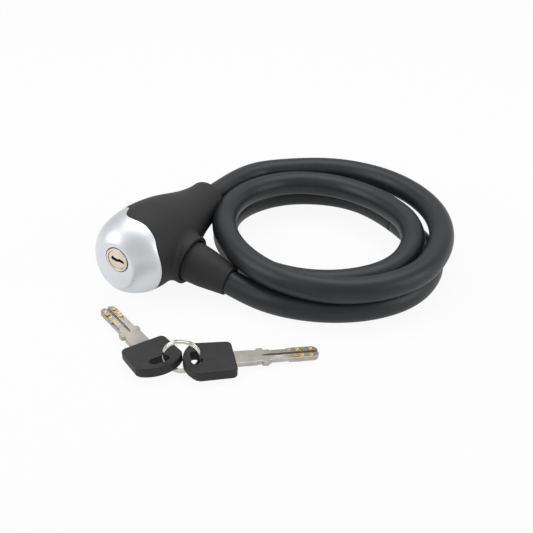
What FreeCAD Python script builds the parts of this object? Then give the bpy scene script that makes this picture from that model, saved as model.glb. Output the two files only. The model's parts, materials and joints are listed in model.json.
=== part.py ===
import FreeCAD, Part
import math
import os
import Sketcher
from FreeCAD import Placement, Rotation, Vector

# Coiled cable lock with a key cylinder head, a pull-out cable plug and two dimple keys on a split ring.
# The origin is on the floor at the middle of the coil; +Z is up. The head has a frame of its own:
# X runs from the key face to the fixed cable's mouth, Z is up, and the plug port opens towards -Y.

doc = FreeCAD.newDocument("CableLock")
sheet = doc.addObject("Spreadsheet::Sheet", "Sizes")

sizes = {
    # cable
    "cableDia": 12.0,
    "coreDia": 7.0,
    # head, as one turned outline about its long axis
    "headX": -97.7,
    "headY": -43.8,
    "headHeight": 20.15,
    "headYaw": 59.0,
    "headLong": 75.0,
    "facetRad": 12.6,
    "bodyRad": 20.0,
    "mouthRad": 10.4,
    "coreFront": 3.0,
    "coreRad": 17.2,
    "coreLong": 60.0,
    "fitGap": 0.15,
    "seamGap": 0.3,
    # lock cylinder, a little above and to one side of the head's axis
    "lockSide": -1.0,
    "lockRise": 4.0,
    "faceRad": 5.9,
    "barrelRad": 8.5,
    "barrelStep": 7.0,
    "barrelEnd": 20.0,
    "rotorRad": 4.7,
    "runGap": 0.06,
    "keywayTurn": -16.0,
    "keyWide": 7.6,
    "keyThick": 2.3,
    "pinRad": 1.0,
    "firstPin": 8.6,
    "pinPitch": 2.5,
    "camThrow": 2.2,
    "camEnd": 3.9,
    # latch plate, in front of the cable plug's bolt and lifted by the cam
    "latchFront": 6.0,
    "latchBack": 3.9,
    "latchLow": 5.1,
    "latchHigh": 11.6,
    "latchHalf": 5.5,
    "armHalf": 2.0,
    # cable plug and its port
    "portPlace": 30.0,
    "portDrop": -1.6,
    "portTilt": 12.0,
    "portRim": 20.5,
    "portRad": 12.5,
    "portBore": 10.3,
    "portFloor": 13.5,
    "sleeveEnd": 43.5,
    "sleeveRad": 9.8,
    "sleeveTip": 7.1,
    "boltRad": 4.5,
    "boltNose": 9.0,
    "grooveRad": 2.8,
    "grooveWide": 4.4,
    # keys and ring
    "keyHeadLong": 22.0,
    "keyHeadWide": 22.0,
    "keyHeadThick": 4.6,
    "keyBladeLong": 36.5,
    "bladeWide": 7.5,
    "bladeThick": 2.2,
    "ringX": -64.5,
    "ringY": -95.6,
    "ringRad": 7.7,
    "wireRad": 0.62,
}


def fill_sheet():
    for row, (name, value) in enumerate(sizes.items(), start=1):
        sheet.set("A%d" % row, name)
        sheet.set("B%d" % row, str(value))
        sheet.setAlias("B%d" % row, name)
    doc.recompute()


fill_sheet()


def size(name):
    return float(sheet.get(name))


def bind(item, name, text):
    """Ties a property to the sheet; plain words in text are the sheet's names."""
    words = text.split()
    item.setExpression(name, " ".join("Sizes." + word if word in sizes else word for word in words))


finished = []


def keep(item, label, place=None):
    item.Label = label
    if place is not None:
        item.Placement = place
    finished.append(item)
    return item


# ---------- frames ----------

headPlace = Placement(Vector(size("headX"), size("headY"), size("headHeight")),
                      Rotation(Vector(0, 0, 1), size("headYaw")))
tilt = math.radians(size("portTilt"))
portOrigin = Vector(size("portPlace"), 0, size("portDrop"))
# The port frame: its Z runs out of the port, its Y points up the latch's way.
portWay = Vector(0, -math.cos(tilt), -math.sin(tilt))
latchWay = Vector(0, -math.sin(tilt), math.cos(tilt))
portTurn = Rotation(Vector(1, 0, 0), latchWay, portWay, "ZYX")
portPlace = headPlace.multiply(Placement(portOrigin, portTurn))
lockPlace = headPlace.multiply(Placement(Vector(0, size("lockSide"), size("lockRise")),
                                         Rotation(Vector(0, 1, 0), 90)))
lockAxis = Vector(0, size("lockSide"), size("lockRise"))


# ---------- small builders ----------

def plane_of(body, role):
    return next(item for item in body.Origin.OriginFeatures if item.Role == role)


def new_body(name):
    return doc.addObject("PartDesign::Body", name)


def new_sketch(body, role, name):
    sketch = body.newObject("Sketcher::SketchObject", name)
    sketch.AttachmentSupport = [(plane_of(body, role), "")]
    sketch.MapMode = "FlatFace"
    return sketch


def closed(sketch, points):
    """Adds straight lines through the points and back to the first."""
    count = len(points)
    for index in range(count):
        start = Vector(*points[index], 0)
        end = Vector(*points[(index + 1) % count], 0)
        sketch.addGeometry(Part.LineSegment(start, end), False)
    return sketch


def ring_circle(sketch, name, text, middle=(0, 0)):
    """Adds a circle whose radius follows the sheet."""
    index = sketch.addGeometry(Part.Circle(Vector(*middle, 0), Vector(0, 0, 1), 1.0), False)
    number = sketch.addConstraint(Sketcher.Constraint("Radius", index, 1.0))
    sketch.renameConstraint(number, name)
    bind(sketch, "Constraints." + name, text)


def pad(body, sketch, length, reverse=False):
    feature = body.newObject("PartDesign::Pad", sketch.Name + "Pad")
    feature.Profile = sketch
    if isinstance(length, str):
        bind(feature, "Length", length)
    else:
        feature.Length = length
    feature.Reversed = reverse
    return feature


def turned(body, sketch):
    feature = body.newObject("PartDesign::Revolution", sketch.Name + "Turn")
    feature.Profile = sketch
    feature.ReferenceAxis = (sketch, ["H_Axis"])
    feature.Angle = 360.0
    return feature


def rod(name, radius, length, place):
    """A cylinder along its own Z whose sizes follow the sheet."""
    item = doc.addObject("Part::Cylinder", name)
    bind(item, "Radius", radius)
    bind(item, "Height", length)
    item.Placement = place
    return item


def solid(name, shape, place=None):
    item = doc.addObject("Part::Feature", name)
    item.Shape = shape
    if place is not None:
        item.Placement = place
    return item


def cylinder(radius, low, high, base=Vector(0, 0, 0), way=Vector(0, 0, 1)):
    return Part.makeCylinder(radius, high - low, base + way * low, way)


def block(low, high):
    return Part.makeBox(high[0] - low[0], high[1] - low[1], high[2] - low[2], Vector(*low))


def in_port(shape):
    """Carries a shape from the port's frame into the head's."""
    return shape.transformed(Placement(portOrigin, portTurn).toMatrix())


def in_lock(shape):
    """Carries a shape from the lock cylinder's frame, Z along the key, into the head's."""
    place = Placement(lockAxis, Rotation(Vector(0, 1, 0), 90))
    return shape.transformed(place.toMatrix())


def revolved(points):
    """Turns an (along, radius) outline round the head's long axis."""
    wire = Part.makePolygon([Vector(along, 0, radius) for along, radius in points + points[:1]])
    return Part.Face(wire).revolve(Vector(0, 0, 0), Vector(1, 0, 0), 360)


# ---------- head ----------

def outer_line():
    """The head's outline behind the facet, as an open curve in the XZ plane."""
    body = size("bodyRad")
    dome = [(0, size("facetRad")), (2.5, body - 5.1), (6.5, body - 2.6), (11.5, body - 0.9), (18, body)]
    neck = [(25, body), (33, body - 0.9), (41, body - 2.5), (49, body - 4.8), (57, body - 7.2)]
    collar = [(64, size("mouthRad") + 0.9), (70, size("mouthRad") + 0.1), (size("headLong"), size("mouthRad"))]
    curve = Part.BSplineCurve()
    curve.interpolate([Vector(along, 0, radius) for along, radius in dome + neck + collar])
    return curve.toShape()


def outer_form():
    """The whole head as one turned solid."""
    line = outer_line()
    back = Part.makePolygon([Vector(size("headLong"), 0, size("mouthRad")), Vector(size("headLong"), 0, 0),
                             Vector(0, 0, 0), Vector(0, 0, size("facetRad"))])
    face = Part.Face(Part.Wire([line] + back.Edges))
    return face.revolve(Vector(0, 0, 0), Vector(1, 0, 0), 360)


def core_outline(grow):
    """The die-cast core's outline, grown by a fit gap."""
    core = size("coreRad") + grow
    front = size("coreFront") - grow
    long = size("coreLong") + grow
    return [(front, 0), (front, 9.2 + grow), (8, 14.2 + grow), (15, core), (27, core), (36, core - 1.2),
            (46, core - 4.0), (54, core - 6.6), (long, core - 8.6), (long, 0)]


def seam_cutter(shift):
    """Everything behind the wavy seam between the cap and the shell."""
    points = [(13.0, 24), (13.2, 19.6), (14.1, 17.6), (12.8, 14.2), (11.2, 10.8), (9.9, 5), (9.8, 0), (10.1, -8),
              (10.8, -14), (11.5, -24)]
    curve = Part.BSplineCurve()
    curve.interpolate([Vector(along + shift, -30, rise) for along, rise in points])
    low = Vector(points[-1][0] + shift, -30, points[-1][1])
    high = Vector(points[0][0] + shift, -30, points[0][1])
    back = Part.makePolygon([low, Vector(100, -30, low.z), Vector(100, -30, high.z), high])
    return Part.Face(Part.Wire([curve.toShape()] + back.Edges)).extrude(Vector(0, 60, 0))


def port_branch():
    """The short round branch that the cable plug goes into."""
    root = Part.makeCone(size("portRad") + 3.2, size("portRad") + 0.6, size("portRim") - 5.5)
    lip = cylinder(size("portRad"), size("portRim") - 6, size("portRim"))
    return in_port(root.fuse(lip))


def port_space():
    """Room for the sleeve's end and the bolt."""
    sleeve = cylinder(size("portBore"), size("portFloor"), size("portRim") + 20)
    bolt = cylinder(size("boltRad") + size("runGap"), -size("boltNose") - 0.5, size("portFloor") + 1)
    return in_port(sleeve.fuse(bolt))


def face_hole():
    return in_lock(cylinder(size("faceRad") + size("runGap"), -5, 12))


def dome_cap():
    skin = outer_form().cut(revolved(core_outline(size("fitGap"))))
    skin = skin.cut(seam_cutter(0)).cut(face_hole())
    keep(solid("dome_cap", biggest(skin)), "dome_cap", headPlace)


def biggest(shape):
    return max(shape.Solids, key=lambda item: item.Volume)


def head_shell():
    skin = outer_form().common(seam_cutter(size("seamGap")))
    skin = skin.fuse(port_branch()).cut(revolved(core_outline(size("fitGap"))))
    skin = skin.cut(port_space())
    cable = cylinder(size("cableDia") / 2 + size("fitGap"), 50, 90, Vector(0, 0, 0), Vector(1, 0, 0))
    keep(solid("head_shell", biggest(skin.cut(cable))), "head_shell", headPlace)


def latch_room():
    """The hollows round the cam, the latch plate, its arm and its spring."""
    front = -size("latchFront") - 0.2
    back = -size("latchBack") + 0.2
    low = size("latchLow") - size("camThrow") - 0.2
    side = size("latchHalf") + 0.2
    arm_side = size("armHalf") + 0.15
    cam = in_lock(cylinder(6.0, size("barrelEnd") - 1, size("barrelEnd") + size("camEnd") + 0.1))
    plate = in_port(block((front, low, -side), (back, size("latchHigh") + 2.0, side)))
    arm = in_port(block((front, low, -arm_side), (3.4, 9.4, arm_side)))
    spring = in_port(cylinder(2.0, size("latchHigh"), 16.6, Vector(spring_place(), 0, 0), Vector(0, 1, 0)))
    return cam.fuse([plate, arm, spring])


def spring_place():
    """The latch spring stands on the middle of the plate's top."""
    return -(size("latchFront") + size("latchBack")) / 2


def lock_body():
    bare = new_body("lock_body_blank")
    outline = closed(new_sketch(bare, "XZ_Plane", "bodyOutline"), core_outline(0))
    turned(bare, outline)
    doc.recompute()
    barrel = in_lock(cylinder(size("barrelRad") + size("runGap"), 0, size("barrelEnd") + size("runGap")))
    ferrule = cylinder(5.0, 38, 51, Vector(0, 0, 0), Vector(1, 0, 0))
    cable = cylinder(size("cableDia") / 2 + size("fitGap"), 50, 62, Vector(0, 0, 0), Vector(1, 0, 0))
    pin = cylinder(1.05, -13, 13, Vector(44, 0, 0), Vector(0, 0, 1))
    lock_pin = in_lock(cylinder(1.05, -20, -5.2, Vector(0, 0, 12), Vector(0, 1, 0)))
    hollow = barrel.fuse([ferrule, cable, pin, lock_pin, port_space(), latch_room()])
    whole = bare.Shape.cut(hollow)
    core = solid("lock_body_core", biggest(whole))
    keep(core, "lock_body", headPlace)


# ---------- lock cylinder: built with Z along the key, X down, turned onto the head's axis ----------

def pin_places():
    """Depths of the five pins behind the face."""
    return [size("firstPin") + size("pinPitch") * number for number in range(5)]


keyTurn = math.radians(size("keywayTurn"))
pinWay = Vector(-math.cos(keyTurn), math.sin(keyTurn), 0)
wideWay = Vector(math.sin(keyTurn), math.cos(keyTurn), 0)


def keyway():
    """The key's slot: a flat slot with a small step at its middle."""
    half = size("keyWide") / 2 + 0.1
    thick = size("keyThick") / 2 + 0.1
    slot = block((-thick, -half, -2), (thick, half, 18.5))
    step = block((-thick - 0.5, 0.4, -2), (thick - 0.5, half - 0.3, 18.5))
    shape = slot.fuse(step)
    shape.rotate(Vector(0, 0, 0), Vector(0, 0, 1), -size("keywayTurn"))
    return shape


def cylinder_barrel():
    low = cylinder(size("faceRad"), -0.5, size("barrelStep"))
    back = cylinder(size("barrelRad"), size("barrelStep"), size("barrelEnd"))
    bore = cylinder(size("rotorRad") + size("runGap"), -1, size("barrelEnd") + 1)
    shape = low.fuse(back).cut(bore)
    for depth in pin_places():
        shape = shape.cut(cylinder(size("pinRad") + size("runGap"), 0, 8.1, Vector(0, 0, depth), pinWay))
    shape = shape.cut(cylinder(1.05, -20, -7.6, Vector(0, 0, 12), Vector(0, 1, 0)))
    keep(solid("cylinder_barrel", shape), "cylinder_barrel", lockPlace)


def key_plug():
    body = cylinder(size("rotorRad"), -0.2, size("barrelEnd") + 2.0)
    tail = block((-1.6, -1.6, size("barrelEnd") + 1.5), (1.6, 1.6, size("barrelEnd") + 3.4))
    groove = cylinder(8, size("barrelEnd") + 0.3, size("barrelEnd") + 1.2)
    groove = groove.cut(cylinder(4.0, size("barrelEnd"), size("barrelEnd") + 2))
    shape = body.fuse(tail).cut(groove).cut(keyway())
    for depth in pin_places():
        shape = shape.cut(cylinder(size("pinRad") + size("runGap"), 0, 9, Vector(0, 0, depth), pinWay))
    keep(solid("key_plug", shape.removeSplitter()), "key_plug", lockPlace)


def pin_group(name, low, high, round_end):
    """Five pins in a row, each a separate solid."""
    pins = []
    for depth in pin_places():
        base = Vector(0, 0, depth)
        pin = cylinder(size("pinRad"), low, high, base, pinWay)
        if round_end:
            tip = Part.makeCone(size("pinRad"), 0.35, 0.5, base + pinWay * low, -pinWay)
            pin = pin.fuse(tip)
        pins.append(pin)
    keep(solid(name, Part.Compound(pins)), name, lockPlace)


def coil_spring(radius, wire, low, high, turns):
    """A coil spring along Z between two heights, its wire swept along a helix."""
    path = Part.makeHelix((high - low - 2 * wire) / turns, high - low - 2 * wire, radius)
    path.translate(Vector(0, 0, low + wire))
    start = Part.Wire(Part.makeCircle(wire, Vector(radius, 0, low + wire), Vector(0, 1, 0)))
    return Part.Wire(path).makePipeShell([start], True, True)


def pin_springs():
    springs = []
    for depth in pin_places():
        spring = coil_spring(0.65, 0.14, 6.35, 8.05, 3)
        turn = Rotation(Vector(0, 0, 1), pinWay)
        springs.append(spring.transformed(Placement(Vector(0, 0, depth), turn).toMatrix()))
    keep(solid("pin_springs", Part.Compound(springs)), "pin_springs", lockPlace)


def plug_clip():
    """The open ring that keeps the key plug in its barrel."""
    end = size("barrelEnd")
    ring = cylinder(5.5, end + 0.35, end + 1.1).cut(cylinder(4.06, end, end + 2))
    ring = ring.cut(block((0, -1.6, end), (8, 1.6, end + 2)))
    keep(solid("plug_clip", ring), "plug_clip", lockPlace)


def cam_way():
    """Where the cam's pin stands at rest, seen in the lock cylinder's frame."""
    return Vector(-latchWay.z, latchWay.y, 0)


def drive_cam():
    end = size("barrelEnd")
    disc = cylinder(5.0, end + 2.05, end + 3.45).cut(block((-1.7, -1.7, end), (1.7, 1.7, end + 4)))
    web = cylinder(3.6, end + 3.45, end + size("camEnd"))
    pin = cylinder(1.1, end + 3.5, end + 5.9, cam_way() * size("camThrow"))
    keep(solid("drive_cam", disc.fuse([web, pin]).removeSplitter()), "drive_cam", lockPlace)


def barrel_pin():
    pin = rod("barrel_pin", "pinRad", "6.0", Placement())
    turn = Placement(Vector(0, -13.8, 12), Rotation(Vector(0, 0, 1), Vector(0, 1, 0)))
    keep(pin, "barrel_pin", lockPlace.multiply(turn))


# ---------- latch ----------

def lock_in_port():
    """The lock cylinder's axis seen from the port's frame."""
    place = Placement(portOrigin, portTurn).inverse()
    return place.multVec(lockAxis)


def latch_bolt():
    """A plate with the cam's slot and an arm that drops into the plug's groove.

    The slot has lost motion above the cam's pin, because the pin swings on an arc.
    """
    axis = lock_in_port()
    pin_rise = axis.y + size("camThrow")
    front, back = -size("latchFront"), -size("latchBack")
    low = size("latchLow")
    plate = block((front, low, -size("latchHalf")), (back, size("latchHigh"), size("latchHalf")))
    slot = block((front - 1, pin_rise - 1.18, axis.z - 3.6), (back + 1, pin_rise + 1.7, axis.z + 3.6))
    arm = block((back, low, -size("armHalf")), (3.2, 9.2, size("armHalf")))
    shape = plate.cut(slot).fuse(arm).removeSplitter()
    keep(solid("latch_bolt", shape), "latch_bolt", portPlace)


def latch_spring():
    spring = coil_spring(1.2, 0.25, size("latchHigh") + 0.05, 16.4, 4)
    turn = Placement(Vector(spring_place(), 0, 0), Rotation(Vector(0, 0, 1), Vector(0, 1, 0)))
    keep(solid("latch_spring", spring), "latch_spring", portPlace.multiply(turn))


# ---------- fixed end of the cable ----------

def fixed_end():
    along = Rotation(Vector(0, 0, 1), Vector(1, 0, 0))
    ferrule = cylinder(4.95, 38.5, 50.8).cut(cylinder(size("coreDia") / 2 + 0.05, 40, 52))
    ferrule = ferrule.cut(cylinder(1.0, -9, 9, Vector(0, 0, 44), Vector(1, 0, 0)))
    keep(solid("fixed_ferrule", ferrule), "fixed_ferrule", headPlace.multiply(Placement(Vector(), along)))
    core = cylinder(size("coreDia") / 2, 40.2, 52.0).cut(cylinder(1.0, -9, 9, Vector(0, 0, 44), Vector(1, 0, 0)))
    keep(solid("core_end_fixed", core), "core_end_fixed", headPlace.multiply(Placement(Vector(), along)))
    pin = rod("fixed_cross_pin", "pinRad - 0.02", "24.0", Placement())
    keep(pin, "fixed_cross_pin", headPlace.multiply(Placement(Vector(44, 0, -12), Rotation())))


# ---------- cable plug, built with Z out of the port ----------

def plug_bolt():
    body = new_body("plug_bolt_blank")
    stem = new_sketch(body, "XY_Plane", "boltStem")
    ring_circle(stem, "stem", "boltRad")
    stem_pad = pad(body, stem, "boltNose + portFloor + 0.5")
    doc.recompute()
    shape = stem_pad.Shape.copy()
    shape.translate(Vector(0, 0, -size("boltNose")))
    half = size("grooveWide") / 2
    groove = cylinder(9, -half, half).cut(cylinder(size("grooveRad"), -9, 9))
    nose = Part.makeCone(9, 9 + 3.0, 3.0, Vector(0, 0, -size("boltNose")), Vector(0, 0, 1))
    nose = nose.cut(Part.makeCone(3.0, 6.0, 3.0, Vector(0, 0, -size("boltNose")), Vector(0, 0, 1)))
    flange = cylinder(7.4, size("portFloor") + 0.4, size("portFloor") + 3.0)
    shape = shape.cut(groove).cut(nose).fuse(flange).removeSplitter()
    keep(solid("plug_bolt_turned", shape), "plug_bolt", portPlace)


def plug_ferrule():
    low = size("portFloor") + 3.05
    ring = cylinder(6.4, low, low + 14).cut(cylinder(size("coreDia") / 2 + 0.05, low + 1.5, low + 15))
    keep(solid("plug_ferrule", ring), "plug_ferrule", portPlace)
    core = cylinder(size("coreDia") / 2, low + 1.6, size("sleeveEnd") - 8)
    keep(solid("core_end_plug", core), "core_end_plug", portPlace)


def plug_sleeve():
    """The tapered cover between the bolt and the cable."""
    low = size("portFloor") + 1.15
    end = size("sleeveEnd")
    outline = [(low, 7.5), (low, size("sleeveRad") - 0.6), (low + 0.8, size("sleeveRad")), (24.0, size("sleeveRad")),
               (30.0, 9.3), (36.0, 8.3), (40.5, 7.5), (end - 0.4, size("sleeveTip")), (end, size("sleeveTip") - 0.5),
               (end, 6.1), (end - 7.5, 6.1), (end - 7.5, 3.6), (31.0, 3.6), (31.0, 6.5), (low + 3.0, 6.5),
               (low + 3.0, 7.5)]
    wire = Part.makePolygon([Vector(radius, 0, along) for along, radius in outline + outline[:1]])
    shape = Part.Face(wire).revolve(Vector(0, 0, 0), Vector(0, 0, 1), 360)
    keep(solid("plug_sleeve", shape), "plug_sleeve", portPlace)


def port_seal():
    """A soft ring on the port's floor that the sleeve's end meets."""
    ring = doc.addObject("Part::Cut", "port_seal")
    ring.Base = rod("seal_outside", "portBore - 0.9", "0.1", Placement())
    ring.Tool = rod("seal_bore", "portBore - 2.4", "0.1", Placement())
    for item in (ring.Base, ring.Tool):
        item.setExpression("Height", "Sizes.portBore / 10")
    doc.recompute()
    keep(ring, "port_seal", portPlace.multiply(Placement(Vector(0, 0, size("portFloor") + 0.02), Rotation())))


# ---------- cable ----------

# The cable's line: angle round the coil, distance from its middle and height. The turns are loose, so each
# station has its own distance; the first turn lies on the floor and the others climb over it.
stations = [(-115, 57, 6.0), (-83, 57, 6.0), (-53, 56, 6.0), (-24, 53, 6.0), (2, 47, 6.0), (28, 45, 6.0),
            (54, 48, 6.0), (83, 53, 6.0), (113, 57, 6.2), (144, 54, 7.0), (177, 46, 8.0), (212, 40, 9.6),
            (247, 40, 11.0), (279, 44, 12.2), (309, 47, 13.8), (337, 45, 15.9), (363, 41, 17.2), (387, 38, 17.0),
            (412, 39, 16.6), (441, 43, 16.8), (471, 48, 17.7), (504, 50, 19.0), (538, 50, 19.5), (572, 51, 19.2),
            (605, 56, 18.4), (636, 61, 17.6), (667, 62, 17.6), (695, 58, 18.2), (722, 56, 18.8), (748, 55, 19.2),
            (775, 56, 19.3), (803, 58, 19.2), (833, 60, 19.1)]


def at(angle, radius, height):
    turn = math.radians(angle)
    return Vector(radius * math.cos(turn), radius * math.sin(turn), height)


def band(first, last, inside, outside, low, high):
    """A stretch of the coil as a bent bar between two stations' angles."""
    part = [item for item in stations if first <= item[0] <= last]
    lines = []
    for shift in (-inside, outside):
        curve = Part.BSplineCurve()
        curve.interpolate([at(angle, radius + shift, low) for angle, radius, height in part])
        lines.append(curve.toShape())
    ends = [Part.makeLine(lines[0].valueAt(curve_end), lines[1].valueAt(other_end))
            for curve_end, other_end in ((lines[0].FirstParameter, lines[1].FirstParameter),
                                         (lines[0].LastParameter, lines[1].LastParameter))]
    wire = Part.Wire(Part.__sortEdges__(lines + ends))
    return Part.Face(wire).extrude(Vector(0, 0, high - low))


def cable_line(points, radius):
    """A tube along straight runs joined by tangent arcs; returns it with its path's length and radii."""
    edges = []
    radii = []
    here = points[0]
    for index in range(1, len(points) - 1):
        before = points[index] - points[index - 1]
        after = points[index + 1] - points[index]
        run = min(before.Length, after.Length)
        turn = before.getAngle(after)
        reach = 0.45 * run
        radii.append(reach / math.tan(turn / 2))
        start = points[index] - before.normalize() * reach
        end = points[index] + after.normalize() * reach
        inward = (after - before).normalize()
        middle = points[index] + inward * (radii[-1] / math.cos(turn / 2) - radii[-1])
        edges.append(Part.makeLine(here, start))
        edges.append(Part.Arc(start, middle, end).toShape())
        here = end
    edges.append(Part.makeLine(here, points[-1]))
    wire = Part.Wire(edges)
    way = points[1] - points[0]
    round_wire = Part.Wire(Part.makeCircle(radius, points[0], way))
    tube = wire.makePipeShell([round_wire], True, True)
    return tube, wire.Length, radii


def check_tube(name, tube, length, radii):
    section = math.pi * (size("cableDia") / 2) ** 2
    print(name, "length %.1f radii %s" % (length, ["%.0f" % item for item in radii]))
    print("   volume against section times length: %.4f" % (tube.Volume / (section * length)))


def cable_coil():
    half = size("cableDia") / 2
    floor = band(28, 212, half, half, 0.0, 12.2)
    climb = band(212, 309, half, 2.6, 0.0, 17.5)
    inner = band(309, 538, half, half, 12.3, 24.0)
    top = band(538, 833, half, half, 12.3, 25.4)
    wide = size("sleeveRad") + 0.8
    plug_path = cylinder(wide, 0, 52).fuse(Part.makeCone(wide, size("sleeveTip") + 0.8, 22, Vector(0, 0, 51.9)))
    shape = floor.fuse([climb, inner, top]).cut(plug_path.transformed(portPlace.toMatrix()))
    shape = shape.cut(outer_form_grown())
    keep(solid("cable_coil", biggest(shape)), "cable_coil")


def outer_form_grown():
    """The head's room, kept clear of the coil."""
    shape = cylinder(size("mouthRad") + 2.0, 40, size("headLong") + 1.0, Vector(0, 0, 0), Vector(1, 0, 0))
    wide = Part.makeCone(21.0, size("mouthRad") + 2.0, 40, Vector(22, 0, 0), Vector(1, 0, 0))
    return shape.fuse(wide).transformed(headPlace.toMatrix())


def lead_points():
    """From the plug's sleeve along the front of the coil, on the floor."""
    start = portPlace.multVec(Vector(0, 0, size("sleeveEnd") - 7.4))
    bend = portPlace.multVec(Vector(0, 0, size("sleeveEnd") + 9.5))
    points = [start, Vector(bend.x, bend.y, 6.6)]
    points += [Vector(-21, -54.5, 6.1), Vector(0, -59.0, 6.15), Vector(22, -56.0, 6.1), Vector(41, -44.0, 6.15),
               Vector(52.5, -21.0, 6.1), Vector(49.3, 3.1, 6.15), Vector(39.9, 20.7, 6.1)]
    return points


def tail_points():
    """From the fixed end, out of the head's mouth and round to the top turn."""
    start = headPlace.multVec(Vector(52.2, 0, 0))
    mouth = headPlace.multVec(Vector(size("headLong") + 8, 0, 0))
    return [start, mouth, Vector(-39.5, 49.5, 19.7), Vector(-20.0, 57.5, 19.2)]


def cables():
    tube, length, radii = cable_line(lead_points(), size("cableDia") / 2)
    check_tube("cable_lead", tube, length, radii)
    keep(solid("cable_lead", tube), "cable_lead")
    tail, length, radii = cable_line(tail_points(), size("cableDia") / 2)
    check_tube("cable_tail", tail, length, radii)
    keep(solid("cable_tail", tail), "cable_tail")
    cable_coil()


# ---------- keys ----------

def key_frame(neck_x, neck_y, yaw):
    """Lies along the key: X from the head's arched end to the tip, which dips to the floor."""
    dip = math.degrees(math.asin(3.0 / (size("keyHeadLong") + size("keyBladeLong"))))
    turn = Rotation(Vector(0, 0, 1), yaw).multiply(Rotation(Vector(0, 1, 0), dip))
    start = Vector(neck_x, neck_y, 4.5) - turn.multVec(Vector(size("keyHeadLong"), 0, 0))
    return Placement(Vector(start.x, start.y, 4.45), turn)


def key_head_shape():
    long = size("keyHeadLong")
    half = size("keyHeadWide") / 2
    thick = size("keyHeadThick")
    arch = Part.Arc(Vector(4.2, half - 0.8, 0), Vector(0, 0, 0), Vector(4.2, 0.8 - half, 0)).toShape()
    rest = Part.makePolygon([Vector(4.2, 0.8 - half, 0), Vector(6.0, -half, 0), Vector(long, 0.6 - half, 0),
                             Vector(long, half - 0.6, 0), Vector(6.0, half, 0), Vector(4.2, half - 0.8, 0)])
    face = Part.Face(Part.Wire([arch] + rest.Edges))
    shape = face.extrude(Vector(0, 0, thick))
    shape.translate(Vector(0, 0, -thick / 2))
    upright = [edge for edge in shape.Edges if abs(edge.tangentAt(edge.FirstParameter).z) > 0.99]
    corners = [edge for edge in upright if edge.Vertexes[0].X > 10]
    shape = shape.makeFillet(2.4, corners)
    rims = [edge for edge in shape.Edges if edge.BoundBox.ZLength < 0.01]
    return shape.makeFillet(0.9, rims)


def key_slot():
    """The ring's slot across the head."""
    slot = block((3.2, -2.4, -5), (7.6, 2.4, 5))
    for side in (-1, 1):
        slot = slot.fuse(cylinder(2.2, -5, 5, Vector(5.4, 2.4 * side, 0)))
    return slot


def ring_room(place):
    """The round space that the ring's wire sweeps through a head, in the key's frame."""
    ring = Part.makeTorus(size("ringRad"), 2 * size("wireRad") + 0.35, ring_centre(), Vector(0, 1, 0))
    return ring.transformed(place.inverse().toMatrix())


def blade_outline():
    long = size("keyHeadLong")
    tip = long + size("keyBladeLong")
    half = size("bladeWide") / 2
    side = [(long - 6, 4.3), (long + 8.5, 4.3), (long + 9.5, 5.2), (long + 12.5, 5.2), (long + 13.0, half),
            (tip - 1.4, half), (tip, half - 1.5)]
    return side + [(along, -across) for along, across in reversed(side)]


def dimples(shape):
    """Round and oblong dimples on both flats."""
    tip = size("keyHeadLong") + size("keyBladeLong")
    top = size("bladeThick") / 2
    places = [(3.0, 2.2, 0.9), (6.2, 2.2, 0.6), (10.0, 2.2, 0.8), (3.2, -2.2, 0.7), (7.4, -2.2, 0.9)]
    for face in (-1, 1):
        for back, across, deep in places:
            base = Vector(tip - back, across * face, face * (top + 0.01))
            shape = shape.cut(Part.makeCone(1.15, 0.35, deep, base, Vector(0, 0, -face)))
    return shape


def key_blade_shape():
    thick = size("bladeThick")
    points = [Vector(along, across, -thick / 2) for along, across in blade_outline()]
    shape = Part.Face(Part.makePolygon(points + points[:1])).extrude(Vector(0, 0, thick))
    groove_low = size("keyHeadLong") + 12.0
    tip = size("keyHeadLong") + size("keyBladeLong")
    for face in (-1, 1):
        low, high = sorted((face * thick / 2, face * (thick / 2 - 0.65)))
        shape = shape.cut(block((groove_low, -0.75, low), (tip + 1, 0.75, high)))
    return dimples(shape)


def key(name, neck_x, neck_y, yaw):
    place = key_frame(neck_x, neck_y, yaw)
    room = block((15.5, -4.4, -1.15), (30, 4.4, 1.15))
    head = key_head_shape().cut(key_slot()).cut(ring_room(place)).cut(room)
    keep(solid(name + "_head", biggest(head)), name + "_head", place)
    keep(solid(name + "_blade", key_blade_shape()), name + "_blade", place)


def ring_centre():
    return Vector(size("ringX"), size("ringY"), size("ringRad") + size("wireRad") + 0.02)


def split_ring():
    """Two close turns of round wire side by side in the upright plane."""
    turns = []
    for side in (-1, 1):
        turn = doc.addObject("Part::Torus", "ring_turn")
        bind(turn, "Radius1", "ringRad")
        bind(turn, "Radius2", "wireRad")
        turn.Placement = Placement(Vector(0, 0, side * 0.9 * size("wireRad")), Rotation())
        turns.append(turn)
    ring = doc.addObject("Part::MultiFuse", "ring_wire")
    ring.Shapes = turns
    doc.recompute()
    keep(ring, "split_ring", Placement(ring_centre(), Rotation(Vector(0, 0, 1), Vector(0, 1, 0))))


# ---------- build ----------

def build():
    dome_cap()
    head_shell()
    lock_body()
    cylinder_barrel()
    key_plug()
    pin_group("key_pins", size("keyThick") / 2 - 0.35, size("rotorRad") - 0.1, True)
    pin_group("driver_pins", size("rotorRad") + 0.1, 6.3, False)
    pin_springs()
    plug_clip()
    drive_cam()
    barrel_pin()
    latch_bolt()
    latch_spring()
    fixed_end()
    plug_bolt()
    plug_ferrule()
    plug_sleeve()
    port_seal()
    cables()
    split_ring()
    key("key_left", -82.8, -81.6, 123.0)
    key("key_right", -42.5, -91.0, 11.0)


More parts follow.
